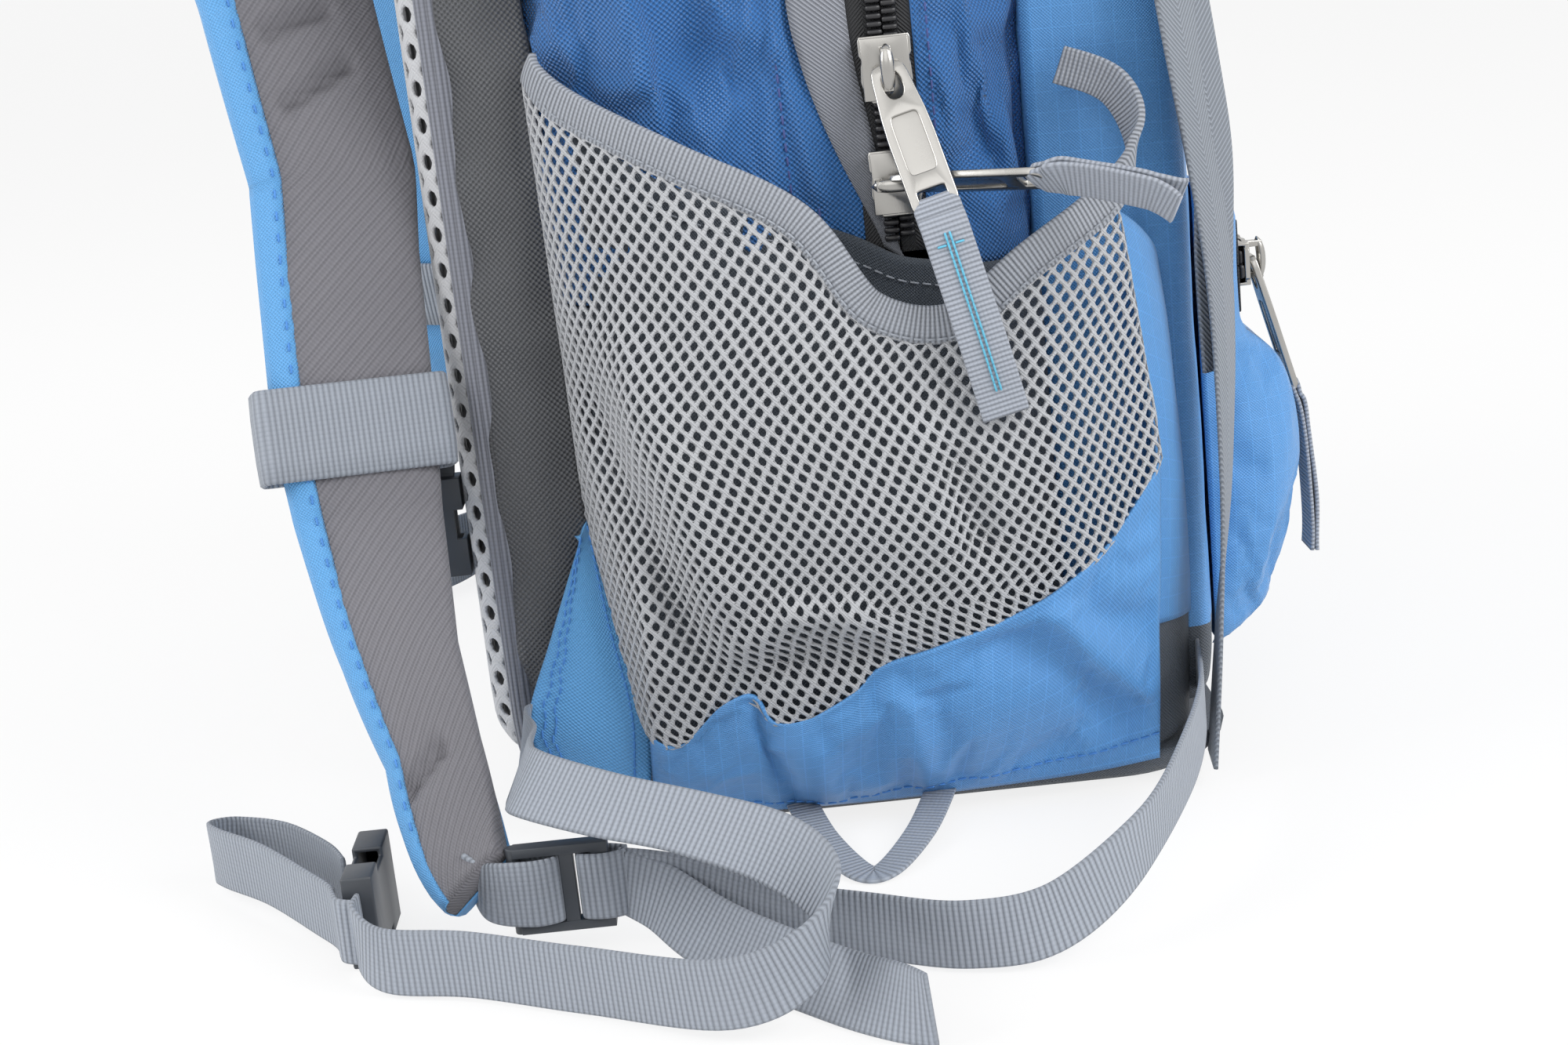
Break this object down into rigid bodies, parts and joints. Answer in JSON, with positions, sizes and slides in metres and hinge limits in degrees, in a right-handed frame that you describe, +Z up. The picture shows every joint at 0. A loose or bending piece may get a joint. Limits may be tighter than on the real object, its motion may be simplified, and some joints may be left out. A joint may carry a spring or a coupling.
{
  "type": "daypack",
  "caption": "Standing daypack with padded back and shoulder straps, arched main zip with pulls, mesh side pockets, front pocket and loose webbing.",
  "frame": {"origin": "centre of the flat bottom on the floor", "axes": "+X toward the front pocket, -Y toward the left side, +Z up"},
  "size_m": [0.3689, 0.6104, 0.4923],
  "materials": {
    "blue_cloth": "woven nylon with a soft sheen",
    "charcoal_cloth": "tight knit, slightly shiny",
    "foam": "closed cell foam",
    "stiffener": "thin sheet",
    "spacer_mesh": "knitted spacer mesh",
    "pocket_mesh": "open knitted mesh",
    "grey_webbing": "ribbed webbing",
    "black_plastic": "moulded",
    "zip_tape": "woven tape",
    "metal": "cast, satin"
  },
  "bodies": {
    "pack": {"bottom_panel": "charcoal_cloth", "left_side_panel": "blue_cloth", "right_side_panel": "blue_cloth", "left_front_gusset": "blue_cloth", "right_front_gusset": "blue_cloth", "left_pocket_back": "charcoal_cloth", "right_pocket_back": "charcoal_cloth", "back_wall": "charcoal_cloth", "front_wall": "blue_cloth", "front_compartment": "blue_cloth", "belly_pocket": "blue_cloth", "back_foam": "foam", "frame_sheet": "stiffener", "back_gusset": "charcoal_cloth", "back_binding": "grey_webbing", "back_spacer_mesh": "spacer_mesh", "left_pocket_mesh": "pocket_mesh", "right_pocket_mesh": "pocket_mesh", "left_pocket_base": "blue_cloth", "right_pocket_base": "blue_cloth", "left_pocket_binding": "grey_webbing", "right_pocket_binding": "grey_webbing", "left_hip_fin": "blue_cloth", "right_hip_fin": "blue_cloth", "left_strap_pad": "spacer_mesh", "right_strap_pad": "spacer_mesh", "left_strap_cover": "blue_cloth", "right_strap_cover": "blue_cloth", "left_strap_webbing": "grey_webbing", "right_strap_webbing": "grey_webbing", "left_belt_webbing": "grey_webbing", "right_belt_webbing": "grey_webbing", "belt_buckle_socket": "black_plastic", "belt_buckle_plug": "black_plastic", "left_lash_strap": "grey_webbing", "right_lash_strap": "grey_webbing", "lash_locks": "black_plastic", "haul_loop": "grey_webbing", "gear_loops": "grey_webbing", "main_zip_tape": "zip_tape", "main_zip_chain": "black_plastic", "belly_zip": "black_plastic"},
    "top_flap": {"top_flap": "blue_cloth", "flap_zip_tape": "zip_tape", "flap_zip_chain": "black_plastic"},
    "upper_slider": {"upper_slider": "metal"},
    "upper_pull": {"upper_pull_tab": "metal", "upper_puller": "grey_webbing"},
    "lower_slider": {"lower_slider": "metal"},
    "lower_pull": {"lower_pull_tab": "metal", "lower_puller": "grey_webbing"},
    "belly_slider": {"belly_slider": "metal"},
    "belly_pull": {"belly_pull_tab": "metal", "belly_puller": "grey_webbing"},
    "left_chest": {"left_chest_band": "grey_webbing", "chest_buckle_socket": "black_plastic"},
    "right_chest": {"right_chest_band": "grey_webbing", "chest_buckle_plug": "black_plastic"},
    "left_lock": {"left_ladder_lock": "black_plastic"},
    "right_lock": {"right_ladder_lock": "black_plastic"}
  },
  "joints": [
    {"name": "top_flap_fold", "type": "hinge", "parent": "pack", "child": "top_flap", "pos_m": [0.088, 0, 0.332], "axis": [0, 1, 0], "range_deg": [0, 80]},
    {"name": "upper_slider_slide", "type": "slide", "parent": "pack", "child": "upper_slider", "axis": [0, 0, 1], "range_m": [0, 0.088]},
    {"name": "upper_pull_swing", "type": "hinge", "parent": "upper_slider", "child": "upper_pull", "pos_m": [0.043, -0.1536, 0.232], "axis": [-0.9703, 0, -0.2419], "range_deg": [0, 110]},
    {"name": "lower_slider_slide", "type": "slide", "parent": "pack", "child": "lower_slider", "axis": [0, 0, -1], "range_m": [0, 0.008]},
    {"name": "lower_pull_swing", "type": "hinge", "parent": "lower_slider", "child": "lower_pull", "pos_m": [0.043, -0.1536, 0.199], "axis": [0, 0, -1], "range_deg": [0, 15]},
    {"name": "belly_slider_slide", "type": "slide", "parent": "pack", "child": "belly_slider", "axis": [0, 1, 0], "range_m": [0, 0.144]},
    {"name": "belly_pull_swing", "type": "hinge", "parent": "belly_slider", "child": "belly_pull", "pos_m": [0.1622, -0.072, 0.152], "axis": [0, -1, 0], "range_deg": [0, 100]},
    {"name": "left_chest_band_slide", "type": "slide", "parent": "pack", "child": "left_chest", "axis": [-0.0383, 0.2871, 0.9571], "range_m": [-0.003, 0.05]},
    {"name": "right_chest_band_slide", "type": "slide", "parent": "pack", "child": "right_chest", "axis": [-0.0383, -0.2871, 0.9571], "range_m": [-0.003, 0.05]},
    {"name": "left_ladder_lock_swivel", "type": "hinge", "parent": "pack", "child": "left_lock", "pos_m": [-0.086, -0.221, 0.02], "axis": [0, 0, 1], "range_deg": [-20, 20]},
    {"name": "right_ladder_lock_swivel", "type": "hinge", "parent": "pack", "child": "right_lock", "pos_m": [-0.086, 0.221, 0.02], "axis": [0, 0, 1], "range_deg": [-20, 20]}
  ]
}
